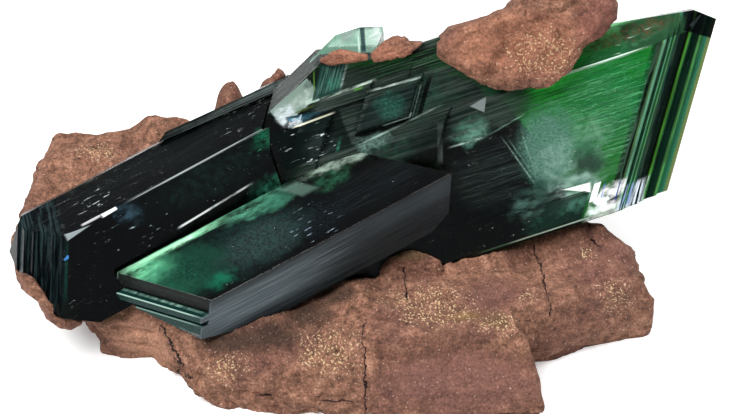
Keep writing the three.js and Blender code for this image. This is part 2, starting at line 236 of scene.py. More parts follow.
def lumps(x, y):
    """Broad swells 7 mm apart, with others 2.6 mm apart and half as high on them."""
    return noise(x / 7, y / 7, 3) + 0.5 * noise(x / 2.6, y / 2.6, 9)


def past(depth):
    """How far a value is past a line, eased from 0 to 1 over the block's fade."""
    share = np.clip(depth / BLOCK_FADE, 0, 1)
    return share * share * (3 - 2 * share)


def rock_top(x, y):
    """A low shelf that falls at the front, a ramp behind it up to the crest, two knobs, and lumps, less
    the drop of the front block."""
    foot = np.interp(x, *np.array(RAMP_FOOT).T)
    crest = np.interp(x, *np.array(CREST_HEIGHTS).T)
    shelf = SHELF_HEIGHT - FRONT_FALL * np.maximum(0, FRONT_EDGE - y)
    ramp = SHELF_HEIGHT + RAMP_SLOPE * (y - foot)
    knobs = 0.0
    for kx, ky, rise in KNOBS:
        knobs += rise * np.exp(-(((x - kx) / KNOB_WIDTH) ** 4) - ((y - ky) / KNOB_DEPTH) ** 2)
    block = BLOCK_DROP * past(np.interp(x, *np.array(BLOCK_RIDGE).T) - y) * past(x - BLOCK_LEFT)
    return np.maximum(shelf, np.minimum(ramp, crest)) + knobs + lumps(x, y) - block


def within(points, node, matrix):
    """Keeps points inside the box of the CAD node that they stand for, seen from the part's frame."""
    turned = np.array(matrix)
    world = points @ turned[:3, :3].T + turned[:3, 3]
    low, high = (np.array(corner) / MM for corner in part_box(node))
    back = np.array(matrix.inverted())
    return np.clip(world, low, high) @ back[:3, :3].T + back[:3, 3]


def matrix_rock():
    """The large rock: rings from the middle of its top, out over the edge and down to the flat base. Its
    top stays under the crystals that lie on it, and its wall is broken outwards and inwards."""
    x, y, rise, share = rock_rings(
        ROCK_OUTLINE, ROCK_MIDDLE, ROCK_SPOKES, ROCK_RINGS, ROCK_PROFILE,
        lambda angle: 0.5 + 0.9 * np.maximum(0, np.sin(angle)),
    )
    behind = y - np.interp(x, *np.array(BLOCK_RIDGE).T)
    lip = LIP_HEIGHT * np.exp(-(((behind - 0.5) / LIP_WIDTH) ** 2)) * past(x - BLOCK_LEFT)
    lip *= np.clip((BLOCK_RIGHT - x) / 2, 0, 1)
    top = rock_top(x, y) + lip + broken(x, y, 0, LEDGE_SPACING, LEDGE_HEIGHT)
    on_it = ("large_blade_crystal", "left_prism_crystal", "front_crystal", "back_blade_crystal")
    low, _ = covering(on_it, UPRIGHT, x, y)
    z = rise * np.minimum(top, low - CONTACT_GAP)
    angle = np.arctan2(y - ROCK_MIDDLE[1], x - ROCK_MIDDLE[0])
    push = broken(x, y, 1.3 * z, WALL_SPACING, WALL_HEIGHT) * np.clip((share - 0.9) / 0.08, 0, 1)
    points = np.stack([x + push * np.cos(angle), y + push * np.sin(angle), z], axis=-1)
    points = within(points, "matrix_rock", UPRIGHT)
    points[-1, :, 2] = 0
    first = np.append(ROCK_MIDDLE, points[0, :, 2].mean())
    return solid("iron_clay_rock", points, first, (*ROCK_MIDDLE, 0), UPRIGHT)


# Smaller rocks: how their walls fall, and their outlines in the frame of the crystal that carries them
LUMP_PROFILE = [(0.8, 0.98), (0.93, 0.9), (1, 0.7), (0.99, 0.4), (0.93, 0.14), (0.8, 0)]
CHUNK_OUTLINE = [
    (14.8, 14.5), (14.1, 16.2), (12.2, 18.4), (9.4, 19.8), (5.6, 20.1), (3.2, 19), (1.4, 18.3), (-1.3, 18.1),
    (-6.2, 18.3), (-8.2, 17.2), (-9.2, 16.2), (-7, 13.4), (-3.9, 9.9), (-1.3, 8.9), (2.9, 7.4), (6.6, 8.6),
    (8.6, 10.6), (11.8, 11.6), (13.8, 12.7),
]
SLIVER_LEFT_OUTLINE = [(-16.9, 18.2), (-19.2, 19.5), (-20.7, 20), (-23.2, 19.5), (-21.8, 18.4), (-17.1, 17.6)]
SLIVER_RIGHT_OUTLINE = [
    (-9.4, 17.5), (-11.4, 18.2), (-11.8, 18.9), (-13, 19.3), (-14.6, 19.1), (-16.6, 18.2), (-16.6, 17.1),
    (-12.6, 16.6),
]
# Rim of the large rock that laps over the blade's foot
FOOT_OUTLINE = [
    (-24.6, -10.6), (-23.7, -7.6), (-22.2, -7), (-20.7, -6.9), (-19.5, -7), (-18.6, -7.4), (-17.6, -8.1),
    (-16.9, -8.8), (-16.3, -9.4), (-16.3, -11), (-16.6, -12), (-19.3, -12), (-21.8, -11.6),
]
# Crust on the left prism's tip
CRUST_OUTLINE = [
    (-2, -11.6), (-3.4, -9.4), (-4.6, -6.5), (-5.2, -3.2), (-6.4, -2.4), (-6.9, -4.4), (-6.1, -5.5),
    (-5.8, -7.2), (-5.8, -9.4), (-5.1, -10.6), (-3.9, -11.6),
]


def small_rock(
    name, node, outline, middle, front, back, rough, spacing, carriers, spokes=200, rings=(34, 26),
):
    """A smaller rock, in the blade's frame: domed from its back to its front over its outline, and where
    a crystal carries it, lying on that crystal. rough is how high its lumps are, and spacing how far
    apart the valleys of its broken surface lie."""
    x, y, rise, share = rock_rings(outline, middle, spokes, rings, LUMP_PROFILE, lambda angle: 0.3 * rough)
    top = front + rough * lumps(1.6 * x, 1.6 * y) + broken(x, y, 0, spacing, 0.5 * rough)
    _, high = covering(carriers, BLADE, x, y)
    base = np.maximum(back, high + CONTACT_GAP)
    z = base + rise * (np.maximum(top, base + 0.05) - base)
    angle = np.arctan2(y - middle[1], x - middle[0])
    push = broken(x, y, 1.3 * z, spacing, 0.4 * rough) * np.clip((share - 0.7) / 0.2, 0, 1)
    points = np.stack([x + push * np.cos(angle), y + push * np.sin(angle), z], axis=-1)
    points = within(points, node, BLADE)
    first, last = (np.append(middle, points[ring, :, 2].mean()) for ring in (0, -1))
    return solid(name, points, first, last, BLADE)


def tip_crust():
    """The crust on the left prism's tip, in the prism's frame: a domed rock, each point held left of the
    crystal's end."""
    middle, front, back, rough, spacing = (-5.1, -8), -0.8, -7.5, 0.3, 1.4
    x, y, rise, _ = rock_rings(CRUST_OUTLINE, middle, 140, (16, 22), LUMP_PROFILE, lambda angle: 0.1)
    top = front + rough * lumps(1.6 * x, 1.6 * y) + broken(x, y, 0, spacing, 0.5 * rough)
    z = back + rise * (top - back)
    x = x + broken(x, y, z, spacing, 0.5 * rough)
    low, _ = covering(("left_prism_crystal",), PRISM, y, z, axes=(1, 2, 0))
    points = np.stack([np.minimum(x, low - CONTACT_GAP), y, z], axis=-1)
    points = within(points, "tip_matrix_crust", PRISM)
    first, last = points[0].mean(axis=0), points[-1].mean(axis=0)
    return solid("iron_clay_crust", points, first, last, PRISM)


def joined(piece, other):
    """Two closed meshes as one piece."""
    both = bmesh.new()
    both.from_mesh(piece.data)
    both.from_mesh(other.data)
    both.to_mesh(piece.data)
    both.free()
    bpy.data.objects.remove(other)
    return piece


foot_rim = small_rock(
    "iron_clay_foot_rim", "matrix_rock", FOOT_OUTLINE, middle=(-20, -9), front=0.9, back=-3, rough=0.3,
    spacing=1.6, carriers=("large_blade_crystal",),
)
rocks = {
    "matrix_rock": joined(matrix_rock(), foot_rim),
    "upper_matrix_chunk": small_rock(
        "iron_clay_chunk", "upper_matrix_chunk", CHUNK_OUTLINE, middle=(4, 13.5), front=3.2, back=-6.5,
        rough=0.8, spacing=2.8, carriers=("large_blade_crystal",), spokes=320, rings=(60, 44),
    ),
    "top_matrix_sliver_left": small_rock(
        "iron_clay_sliver_left", "top_matrix_sliver_left", SLIVER_LEFT_OUTLINE, middle=(-20, 18.8), front=1.2,
        back=-1.3, rough=0.34, spacing=1.4, carriers=("large_blade_crystal", "clear_crystal"),
    ),
    "top_matrix_sliver_right": small_rock(
        "iron_clay_sliver_right", "top_matrix_sliver_right", SLIVER_RIGHT_OUTLINE, middle=(-13.2, 17.8),
        front=1.1, back=-2.4, rough=0.34, spacing=1.4, carriers=("large_blade_crystal", "clear_crystal"),
    ),
    "tip_matrix_crust": tip_crust(),
}
for node, rock in rocks.items():
    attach(rock, "root")
    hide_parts(node)


def colour(code):
    """A linear colour from an sRGB hex code."""
    parts = [int(code[n:n + 2], 16) / 255 for n in (1, 3, 5)]
    return (*(c / 12.92 if c <= 0.04045 else ((c + 0.055) / 1.055) ** 2.4 for c in parts), 1)


def add(tree, kind, inputs, **settings):
    """Adds a shader node with its settings and inputs. An input is a value, a node whose first output
    it takes, or a node's own output."""
    node = tree.nodes.new("ShaderNode" + kind)
    for name, value in settings.items():
        setattr(node, name, value)
    for name, value in inputs.items():
        if isinstance(value, bpy.types.Node):
            value = value.outputs[0]
        if isinstance(value, bpy.types.NodeSocket):
            tree.links.new(value, node.inputs[name])
        else:
            node.inputs[name].default_value = value
    return node


def new_material(name):
    """An empty material and its node tree."""
    made = bpy.data.materials.new(name)
    made.use_nodes = True
    made.node_tree.nodes.clear()
    return made, made.node_tree


def patch_mask(tree, position, shape, centre, radii, turned, soft):
    """From 1 in the middle of a patch to 0 at its edge, over the soft share of its radius. An oval's
    reach is the distance from its middle, a box's is the farthest of its three, and a wedge is a box
    whose width shrinks to nothing along its second axis. Dot products read a vector's parts, because
    separated ones fill the renderer's stack over many patches."""
    if turned:
        inside = add(tree, "Mapping", {
            "Vector": position, "Location": centre, "Rotation": (0, 0, np.radians(turned)), "Scale": radii,
        }, vector_type="TEXTURE")
    else:
        shrink = 1 / np.array(radii)
        inside = add(tree, "VectorMath", {
            0: position, 1: shrink, 2: -shrink * centre,
        }, operation="MULTIPLY_ADD")
    if shape == "oval":
        reach = add(tree, "VectorMath", {0: inside}, operation="LENGTH").outputs["Value"]
    else:
        sides = add(tree, "VectorMath", {0: inside}, operation="ABSOLUTE")
        first, second, third = (
            add(tree, "VectorMath", {0: sides, 1: axis}, operation="DOT_PRODUCT").outputs["Value"]
            for axis in ((1, 0, 0), (0, 1, 0), (0, 0, 1))
        )
        if shape == "wedge":
            along = add(tree, "VectorMath", {0: inside, 1: (0, 1, 0)}, operation="DOT_PRODUCT")
            half = add(tree, "Math", {0: along.outputs["Value"], 1: 0.5, 2: 0.5}, operation="MULTIPLY_ADD")
            first = add(tree, "Math", {0: first, 1: half}, operation="ADD")
        widest = add(tree, "Math", {0: first, 1: second}, operation="MAXIMUM")
        reach = add(tree, "Math", {0: widest, 1: third}, operation="MAXIMUM")
    return add(tree, "MapRange", {
        "Value": reach, "From Min": 1, "From Max": 1 - soft, "To Min": 0, "To Max": 1,
    }, interpolation_type="SMOOTHSTEP")


# Vivianite: a hydrated iron phosphate that grows in flat, easily parted layers. It is clear green where it
# is thin and looks black where it is thick, with a glassy shine, growth lines along it, veils and clouds.
# Its grains, in the crystal's own mm: which place they read, how that is stretched, marks to a mm, detail,
# and the noise at which they are bare and full
GRAINS = {
    "cloud": ("own", (1, 1, 1), 1.1, 12, 0.3, 0.74),
    "mist": ("own", (0.7, 1, 1), 4, 6, 0.25, 0.8),
    "streak": ("own", (0.09, 2.6, 2.6), 1, 5, 0.36, 0.74),
    "fine": ("own", (0.12, 7, 7), 1, 3, 0.42, 0.64),
    "hair": ("bent", (0.16, 5.5, 5.5), 1, 3, 0.52, 0.64),
    "dash": ("own", (0.5, 3.4, 3.4), 1, 2, 0.64, 0.7),
    "speck": ("own", (1, 1, 1), 5, 5, 0.5, 0.6),
    "flow": ("own", (0.45, 1.1, 1.1), 1, 9, 0.32, 0.7),
    "bars": ("oblique", (1, 0.06, 0.06), 3.4, 3, 0.44, 0.6),
}
VIVIANITE_IOR = 1.6
LINE_RELIEF = 0.016


def vivianite(name, matrix, slant, absorbed, density, patches, bands=(), glints=()):
    """Glass with depth colour under a skin of frosting, growth lines, and painted glows, highlights and
    sheens.

    A patch is (shape, grain, centre, radii, turned, colour, strength, softness), in mm in the crystal's
    own frame. An oval has drifting edges, and an edge or a wedge straight ones. A facet runs across the
    crystal as its end does, slant degrees off square, so its place along the crystal is counted at mid
    height. So is that of the bands across the end. Later patches lie over earlier ones, bands over
    patches and glints over all."""
    material, tree = new_material(name)
    object_place = add(tree, "TexCoord", {}).outputs["Object"]
    own = add(tree, "Mapping", {
        "Vector": object_place, "Location": matrix.translation * MM, "Rotation": matrix.to_euler(),
        "Scale": (MM, MM, MM),
    }, vector_type="TEXTURE")
    sides = add(tree, "SeparateXYZ", {0: own})
    level = add(tree, "Math", {
        0: sides.outputs[1], 1: -np.tan(np.radians(slant)), 2: sides.outputs[0],
    }, operation="MULTIPLY_ADD")
    oblique = add(tree, "CombineXYZ", {0: level, 1: sides.outputs[1], 2: sides.outputs[2]})
    drift = add(tree, "TexNoise", {"Vector": own, "Scale": 0.6, "Detail": 6}).outputs["Color"]
    wavy = add(tree, "VectorMath", {0: drift, 1: (3, 3, 3), 2: own}, operation="MULTIPLY_ADD")
    wavy = add(tree, "VectorMath", {0: wavy, 1: (1.5, 1.5, 1.5)}, operation="SUBTRACT")
    bent = add(tree, "VectorMath", {0: drift, 1: (0.5, 0.5, 0.5), 2: own}, operation="MULTIPLY_ADD")
    patch_places = {"oval": wavy, "facet": oblique, "edge": own, "wedge": own}
    grain_places = {"own": own, "bent": bent, "oblique": oblique}
    grains = {}
    for grain, (base, stretch, scale, detail, bare, full) in GRAINS.items():
        spread = add(tree, "Mapping", {"Vector": grain_places[base], "Scale": stretch})
        seen = add(tree, "TexNoise", {
            "Vector": spread, "Scale": scale, "Detail": detail, "Roughness": 0.62, "Distortion": 0.2,
        })
        grains[grain] = add(tree, "MapRange", {
            "Value": seen, "From Min": bare, "From Max": full,
        }, interpolation_type="SMOOTHSTEP")
    # The skin's colour and how much glass it covers: frosting, own colour and painted light
    painted, frost_and_light_cover = (0, 0, 0, 1), 0.0

    def lay(cover, code):
        """Lays a colour over those before it, and counts how much of the glass is covered."""
        nonlocal painted, frost_and_light_cover
        painted = add(tree, "Mix", {"Factor": cover, 6: painted, 7: code}, data_type="RGBA").outputs[2]
        frost_and_light_cover = add(tree, "Mix", {"Factor": cover, 2: frost_and_light_cover, 3: 1.0}, data_type="FLOAT").outputs[0]

    def lay_patches(entries):
        for shape, grain, centre, radii, turned, code, strength, soft in entries:
            mask = patch_mask(tree, patch_places[shape], shape, centre, radii, turned, soft)
            cover = add(tree, "Math", {0: mask, 1: strength}, operation="MULTIPLY")
            if grain != "plain":
                cover = add(tree, "Math", {0: cover, 1: grains[grain]}, operation="MULTIPLY")
            lay(cover, colour(code))

    lay_patches(patches)
    if bands:
        first, last = bands[0][0], bands[-1][0]
        share = add(tree, "MapRange", {"Value": level, "From Min": first, "From Max": last})
        ramp = add(tree, "ValToRGB", {"Fac": share})
        stops = ramp.color_ramp.elements
        for n, (at, code, strength) in enumerate(bands):
            stop = stops[n] if n < 2 else stops.new(1)
            stop.position = (at - first) / (last - first)
            stop.color = (*colour(code)[:3], strength)
        lay(ramp.outputs["Alpha"], ramp.outputs["Color"])
    lay_patches(glints)
    # The skin's own colour, with its painted glows, highlights and sheens
    frost_and_light_colour = add(tree, "VectorMath", {0: painted, 1: frost_and_light_cover}, operation="DIVIDE")
    lines = add(tree, "Math", {0: grains["streak"], 1: grains["dash"]}, operation="ADD")
    bump = add(tree, "Bump", {"Height": lines, "Strength": 1, "Distance": LINE_RELIEF * MM})
    glass = add(tree, "BsdfPrincipled", {
        "Base Color": colour("#eef8f2"), "Roughness": 0.03, "IOR": VIVIANITE_IOR, "Transmission Weight": 1,
        "Normal": bump,
    })
    dull = add(tree, "BsdfPrincipled", {
        "Base Color": frost_and_light_colour, "Roughness": 0.2, "IOR": VIVIANITE_IOR, "Specular IOR Level": 0.07,
        "Normal": bump,
    })
    shader = add(tree, "MixShader", {0: frost_and_light_cover, 1: glass, 2: dull})
    depth = add(tree, "VolumeAbsorption", {"Color": colour(absorbed), "Density": density})
    add(tree, "OutputMaterial", {"Surface": shader, "Volume": depth})
    return material


BLADE_PATCHES = [
    # Free end, lit from behind: deep green, its own colour with painted light let through it,
    # under fine, slightly bent lines
    ("oval", "cloud", (11, 4, 0), (9, 8, 2), 0, "#0f5a2c", 0.75, 0.8),
    ("oval", "flow", (15, 4, 0), (7, 7, 2), 0, "#1a7a38", 0.5, 0.7),
    ("oval", "mist", (9, 3, 0), (9, 7, 2), 0, "#2a6a50", 0.5, 0.7),
    ("oval", "fine", (11, 3, 0), (10, 9, 2), 0, "#0b4020", 0.7, 0.5),
    ("oval", "hair", (10, 2, 0), (11, 10, 2), 0, "#6fbf8a", 0.3, 0.5),
    ("oval", "streak", (8, 0, 0), (9, 9, 2), 0, "#8fc0a0", 0.15, 0.6),
    # Dark face over the rock, streaked, as far as the fine cross lines: its own dark colour with painted
    # shade of the shadowed rock behind
    ("facet", "plain", (-19.4, 12, 0), (17.4, 8, 3), 0, "#17261f", 0.86, 0.2),
    ("facet", "streak", (-19, 12, 0), (16, 7.6, 3), 0, "#626a66", 0.5, 0.1),
    ("facet", "fine", (-15.2, 11, 0), (13.8, 7, 3), 0, "#050807", 0.7, 0.25),
    ("oval", "cloud", (-12, 11, 0), (7, 4, 2), 0, "#2d5a48", 0.45, 0.7),
    ("oval", "streak", (-6, -3, 0), (10, 6, 2), 12, "#060a0a", 0.7, 0.6),
    ("oval", "fine", (-6, -1, 0), (8, 5, 2), 12, "#3a4744", 0.5, 0.6),
    ("oval", "fine", (-3, 6.5, 0), (5, 2.6, 2), 0, "#4a5c50", 0.5, 0.7),
    ("oval", "fine", (1.5, 6.2, 0), (5.5, 2.8, 2), 8, "#16301f", 0.85, 0.7),
    # Frosted cloud with a darker hollow
    ("oval", "plain", (1, -0.2, 0), (4.6, 6.8, 2), -17, "#2d5c4c", 0.85, 0.6),
    ("oval", "mist", (1, 0.4, 0), (4.6, 6.2, 2), -17, "#66897b", 0.9, 0.55),
    ("oval", "cloud", (1.6, -2.4, 0), (4, 4.2, 2), -17, "#8aa99c", 0.6, 0.7),
    ("oval", "cloud", (5.8, -1.8, 0), (3.6, 4.4, 2), -17, "#6a957f", 0.6, 0.7),
    ("oval", "flow", (6.9, 0.2, 0), (4.6, 2.4, 2), 0, "#7aa58a", 0.4, 0.7),
    ("oval", "plain", (5.6, -1.4, 0), (2, 2.2, 2), -17, "#2a5a40", 0.8, 0.9),
    ("oval", "plain", (5.3, -3.3, 0), (3.1, 2.6, 2), 0, "#26322f", 0.9, 0.85),
    ("oval", "plain", (3.4, -5.2, 0), (3.8, 1.5, 2), -13, "#557a6e", 0.8, 0.9),
    ("oval", "flow", (3, -5.2, 0), (4.6, 1.6, 2), 0, "#a9c4ba", 0.6, 0.8),
    ("oval", "dash", (3.4, -2.4, 0), (1.6, 1.2, 2), 0, "#e6f0ec", 0.8, 0.4),
    # Cross lines at the edge of the dark face
    ("edge", "mist", (-3, -0.5, 0), (0.12, 4.2, 2), 17.4, "#9db8ac", 0.65, 0.6),
    ("edge", "mist", (-2.4, -0.6, 0), (0.10, 3.9, 2), 17.4, "#6d8f82", 0.8, 0.6),
    ("edge", "mist", (-1.5, 0, 0), (0.12, 4, 2), 1, "#7fa090", 0.8, 0.7),
    # Swirls below it, and the pale patch with its line
    ("oval", "flow", (-3.4, -6.3, 0), (3.6, 2.4, 2), 10, "#4c6f64", 0.75, 0.7),
    ("oval", "cloud", (-1, -8.8, 0), (5.2, 1.8, 2), 8, "#2c5f4c", 0.6, 0.8),
    ("oval", "flow", (-7.8, 5.2, 0), (3, 2.4, 2), 6, "#5b917d", 0.85, 0.7),
    ("oval", "mist", (-7.4, 4.6, 0), (2.8, 1.5, 2), 6, "#7fae9a", 0.6, 0.8),
    ("edge", "flow", (-8.5, 3.8, 0), (2.6, 0.16, 2), -1.4, "#c4dcd2", 1, 0.6),
    ("edge", "streak", (-3, 4.4, 0), (3.1, 0.12, 2), 12.3, "#8fb5a4", 0.8, 0.5),
    ("wedge", "plain", (-5.4, 7.5, 0), (1.3, 0.85, 1), -168, "#7f8886", 0.95, 0.12),
    ("edge", "plain", (-11.7, 4.9, 0), (0.42, 3, 2), -17.5, "#4a524f", 0.75, 0.4),
    # Upper corner: a pale window, a teal facet, painted glints and a painted flash, and stepped plates
    # whose bright edges are painted highlights
    ("edge", "plain", (-27, 10.2, 0.5), (4.8, 2.5, 2), 3, "#0a1211", 0.85, 0.1),
    # Painted glints: white dashes, then a green glint along a facet
    ("oval", "dash", (-27, 9.8, 0.5), (4.2, 3.2, 2), 0, "#dfe8e8", 1, 0.3),
    ("oval", "mist", (-26, 9.4, 0.5), (3.2, 2, 2), 0, "#33403f", 0.7, 0.7),
    ("facet", "flow", (-29.5, 8.7, 0), (0.3, 0.95, 1.5), 0, "#2f8064", 0.9, 0.6),
    ("edge", "plain", (-27.5, 15.35, 0), (3.3, 1.35, 3), 23.6, "#7d9187", 0.96, 0.1),
    ("oval", "cloud", (-26.6, 15.4, 0), (2.2, 1.1, 3), 23.6, "#b9c6bd", 0.8, 0.7),
    ("oval", "cloud", (-25.2, 16.9, 0), (1.7, 1, 3), 23.6, "#1d2a28", 0.9, 0.7),
    ("edge", "plain", (-25.3, 14.95, 0.1), (0.9, 0.35, 0.5), 6, "#9fb3a9", 0.9, 0.15),
    ("edge", "plain", (-27.5, 17.4, -2.4), (5.4, 3, 2), 23.6, "#161d1d", 0.95, 0.06),
    ("edge", "fine", (-27.5, 17.4, -2.4), (5, 2.8, 1.9), 23.6, "#5f6a64", 0.45, 0.3),
    # A painted flash, near white
    ("oval", "flow", (-29.2, 14.2, 0), (1.7, 1.5, 3), 30, "#e9f2f8", 0.95, 0.5),
    ("edge", "plain", (-24.55, 16.6, 0), (0.12, 2.4, 3), -16.9, "#4f7a2a", 0.7, 0.5),
    ("edge", "plain", (-26.8, 14.15, 0), (1.8, 0.15, 1), 6, "#4a5c24", 0.7, 0.5),
    ("facet", "plain", (-33.3, 16.8, 0), (1.85, 2, 1), 0, "#1b3631", 0.92, 0.08),
    ("facet", "bars", (-33.2, 16.9, 0), (1.7, 1.9, 1), 0, "#5b8577", 0.6, 0.3),
    ("oval", "cloud", (-22.5, 16.1, 0), (1.4, 1.3, 1), 0, "#2f7a62", 0.7, 0.6),
    ("facet", "streak", (-31.4, 16.5, 0), (0.22, 1.7, 1), 0, "#a3b8b0", 1, 0.4),
    ("edge", "streak", (-18.4, 16.4, 0), (2.6, 1, 1), 0, "#060a09", 0.95, 0.2),
    ("edge", "fine", (-13.5, 15.6, 0), (7, 2.2, 1), 0, "#060a09", 0.85, 0.4),
    # A teal facet, a painted white flash, and painted highlights along the plates' edges
    ("wedge", "plain", (-26.2, 13.2, 0), (0.85, 3.3, 1), -90, "#173a45", 0.9, 0.15),
    ("wedge", "flow", (-26.6, 13, 0), (0.75, 2.6, 1), -90, "#6fb0cc", 0.95, 0.3),
    ("oval", "mist", (-28, 12.9, 0), (1.5, 0.55, 1), 8, "#ffffff", 1, 0.5),
    ("edge", "plain", (-26, 12.5, 0), (3.1, 0.13, 1), 2, "#fbf8df", 0.95, 0.3),
    ("edge", "flow", (-20.8, 14.85, 0.4), (4.2, 0.17, 1.2), 1.5, "#b9cdbd", 1, 0.4),
    ("edge", "flow", (-19.4, 14.55, 0.4), (0.8, 0.18, 1.2), 0, "#4f8a2a", 0.8, 0.6),
    ("facet", "cloud", (-24.2, 11.2, 0), (4, 2.1, 2), 0, "#0c1413", 0.7, 0.15),
    ("facet", "plain", (-23.8, 11.5, 1.5), (3.5, 2.1, 0.4), 0, "#0f1a18", 0.8, 0.2),
    ("facet", "streak", (-23.8, 11.5, 1.5), (3.5, 2.1, 0.4), 0, "#3a4a46", 0.4, 0.3),
    ("oval", "mist", (-16.2, 11.4, 1.5), (2.8, 2, 2), 0, "#2f6a58", 0.8, 0.8),
    # Painted highlights along the plates' edges, beside a black line
    ("edge", "flow", (-14.8, 13.65, 0), (3.9, 0.14, 1.5), -3, "#c5d6cc", 1, 0.3),
    ("facet", "mist", (-19.85, 10.8, 0), (0.11, 2.1, 1.5), 0, "#b5d5ca", 1, 0.4),
    ("facet", "mist", (-20.3, 10.9, 0), (0.06, 2, 1.5), 0, "#7faa9c", 1, 0.4),
    ("facet", "plain", (-18.9, 10.9, 0), (0.38, 2.4, 1.5), 0, "#030505", 0.9, 0.3),
    ("edge", "plain", (-15.8, 9.2, 0.4), (2.4, 0.5, 0.36), 0, "#e2f4ec", 1, 0.4),
    ("edge", "flow", (-16, 8.5, 0.4), (6.3, 0.14, 1.2), 6.8, "#a9c2b5", 0.9, 0.4),
    ("oval", "mist", (-19.8, 7.6, 0.5), (3, 1.5, 2), 8, "#7a9d92", 0.9, 0.6),
    ("oval", "cloud", (-17.5, 6, 0.5), (5, 2.4, 2), 8, "#2a4d40", 0.6, 0.7),
    ("oval", "plain", (-12.6, 6, 0.5), (5.6, 2.2, 2), 8, "#0d1513", 0.7, 0.8),
    # Painted highlights: bright lines along the top bevel's lower edge and along the bottom edge
    ("edge", "streak", (8.5, 8.15, 0), (9.5, 0.2, 0.6), 0, "#e2f2ea", 1, 0.4),
    ("edge", "plain", (10.5, 8.25, 0), (6, 0.08, 0.5), 0, "#cfe6da", 0.8, 0.4),
    ("edge", "plain", (-8, -10.6, -0.4), (13, 0.6, 0.7), 0, "#0a1412", 0.95, 0.1),
    ("edge", "plain", (-4, -10.2, -0.3), (8.5, 0.16, 0.5), 0, "#4f7f66", 0.85, 0.4),
    ("edge", "plain", (-1.5, -10.2, -0.3), (6.5, 0.13, 0.5), 0, "#c5e0cf", 0.95, 0.4),
]
# The free end's steps, as seen across it: dark bands and thin green and olive lines, painted light and
# dark where the steps bend the light through them. Place along the crystal, colour and strength
BLADE_BANDS = [
    (12.6, "#0c3a20", 0), (12.7, "#020504", 0.95), (13.25, "#020504", 0.95), (13.4, "#6f9a52", 0.85),
    (13.75, "#6fa88c", 0.8), (14, "#4f8f70", 0.75), (14.15, "#06281a", 0.9), (14.5, "#06281a", 0.9),
    (14.65, "#5fa57a", 0.85), (14.85, "#3a7a50", 0.8), (15.05, "#1c5236", 0.85), (15.25, "#64a560", 0.85),
    (15.45, "#3c7a66", 0.8), (15.75, "#0d1a18", 0.96), (17.2, "#081408", 0.97), (17.4, "#56a030", 0.92),
    (17.75, "#4f9a58", 0.9), (18, "#06251a", 0.95), (19, "#0c2418", 0.95), (19.3, "#4f8a48", 0.85),
    (19.7, "#2f7d52", 0.85), (20.4, "#2a7a5c", 0.85), (20.75, "#6d7a46", 0.85), (23, "#6d7a46", 0.6),
]
# Top bevel, stained brown, with painted pale glints; painted light at the lower corner, white flashes
# and blue and white glints round a dark notch; and the black upper tip with a painted grey sheen
BLADE_GLINTS = [
    ("facet", "bars", (16.6, 1, -2), (3.6, 8.5, 4), 0, "#000101", 0.5, 0.1),
    ("facet", "bars", (14.3, 1, -1), (1.9, 9, 4), 0, "#53735c", 0.35, 0.2),
    ("edge", "plain", (8.4, 10, -2.2), (13.6, 1.75, 2.1), 0, "#1d4a30", 0.6, 0.1),
    ("edge", "plain", (18.4, 9.9, -2), (4.4, 1.7, 2.3), 0, "#22422b", 0.9, 0.2),
    ("oval", "flow", (12, 9.8, -2), (9.6, 1.4, 3), 0, "#3f7a54", 0.7, 0.5),
    ("oval", "cloud", (14, 10.2, -2.5), (9, 1.5, 2.4), 0, "#1a2f1f", 0.8, 0.6),
    ("oval", "speck", (13, 10.2, -2.5), (10, 1.4, 2.4), 0, "#6d3b2b", 0.9, 0.5),
    ("oval", "dash", (12, 9.6, -2), (10, 1.5, 3), 0, "#b5cdbb", 0.6, 0.4),
    ("facet", "flow", (7.2, -7, 0), (4.2, 1.3, 2), 4, "#9fc2b6", 0.7, 0.7),
    ("facet", "plain", (6, -8.4, 0), (3.1, 1.6, 2), 0, "#14261f", 0.92, 0.12),
    ("oval", "cloud", (2, -8.3, 0), (3.2, 1.3, 2), 7, "#3d6d5a", 0.5, 0.6),
    ("facet", "cloud", (7.4, -8, 0), (2, 1, 2), 0, "#5f8f80", 0.4, 0.9),
    ("wedge", "plain", (2.8, -6.1, 0), (0.75, 2.1, 2), 77, "#ffffff", 1, 0.25),
    ("edge", "plain", (1.85, -6.8, 0), (2.5, 0.09, 2), 0, "#050808", 0.9, 0.3),
    ("facet", "plain", (9.75, -7.3, 0), (0.5, 1.15, 2), 0, "#ffffff", 1, 0.2),
    ("facet", "flow", (12.2, -8.7, 0), (1.9, 2.1, 2), 0, "#ffffff", 1, 0.2),
    ("facet", "cloud", (10, -9.2, 0), (0.9, 0.9, 2), 0, "#cfe6d8", 0.9, 0.4),
    ("oval", "plain", (5.3, -8.6, 0), (1.2, 0.9, 2), 0, "#f4fbff", 0.95, 0.3),
    ("facet", "cloud", (11.6, -10, 0), (2.6, 0.8, 2), 0, "#e8fff2", 0.9, 0.4),
    ("facet", "plain", (10.85, -7.4, 0), (0.08, 0.95, 2), 0, "#5f7fd8", 0.85, 0.4),
    ("facet", "plain", (13, -8, 0), (0.12, 1.4, 2), 0, "#27407f", 0.9, 0.4),
    ("facet", "bars", (15.6, -9.3, -1.5), (2.4, 1.7, 4), 0, "#dfe9f2", 1, 0.35),
    ("facet", "bars", (14.6, -9, -1.5), (1, 1.5, 4), 0, "#5f86d8", 0.7, 0.4),
    ("edge", "plain", (24.4, 8.5, -4), (2.3, 1.5, 3), -35, "#06080a", 0.96, 0.15),
    ("wedge", "plain", (24, 9.2, -4), (0.5, 1.3, 3), -60, "#3a4344", 0.8, 0.3),
]
